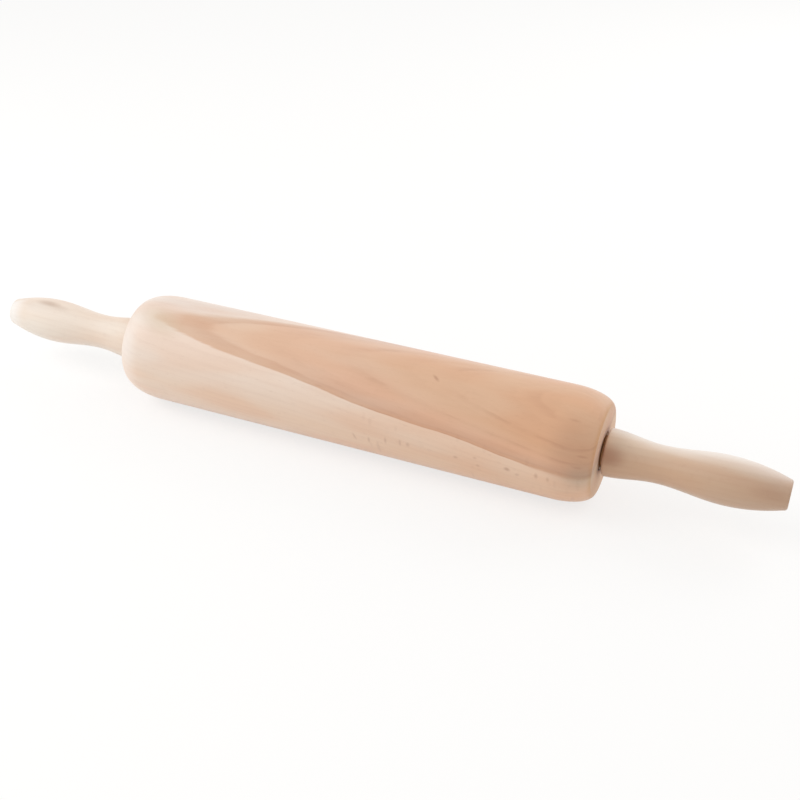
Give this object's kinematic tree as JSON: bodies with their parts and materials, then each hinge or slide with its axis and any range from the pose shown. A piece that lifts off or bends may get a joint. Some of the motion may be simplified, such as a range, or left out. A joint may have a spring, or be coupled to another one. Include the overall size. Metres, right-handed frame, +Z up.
{
  "type": "rolling pin with handles",
  "caption": "Wooden rolling pin: a turned barrel with soft shoulders spins freely on a steel axle between two turned grips with waisted necks.",
  "frame": {"origin": "middle of the pin's axis, which is also the middle of its bounding box", "axes": "+X along the pin's axis towards the right handle, +Z up, +Y away from the user; the lowest flat of the barrel faces -Z"},
  "size_m": [0.4184, 0.055, 0.055],
  "materials": {
    "barrel_wood": "sanded beech, unvarnished",
    "handle_wood": "sanded beech, unvarnished, paler than the barrel",
    "axle_steel": "bright drawn bar, knurled near its ends",
    "washer_fibre": "red-brown vulcanised fibre",
    "bush_nylon": "tan moulded nylon"
  },
  "bodies": {
    "axle_and_handles": {"axle": "axle_steel", "left_handle": "handle_wood", "right_handle": "handle_wood", "left_washer": "washer_fibre", "right_washer": "washer_fibre"},
    "barrel_and_bushes": {"barrel": "barrel_wood", "left_bush": "bush_nylon", "right_bush": "bush_nylon"}
  },
  "joints": [
    {"name": "barrel_spin", "type": "hinge", "parent": "axle_and_handles", "child": "barrel_and_bushes", "pos_m": [0, 0, 0], "axis": [1, 0, 0], "continuous": true}
  ]
}
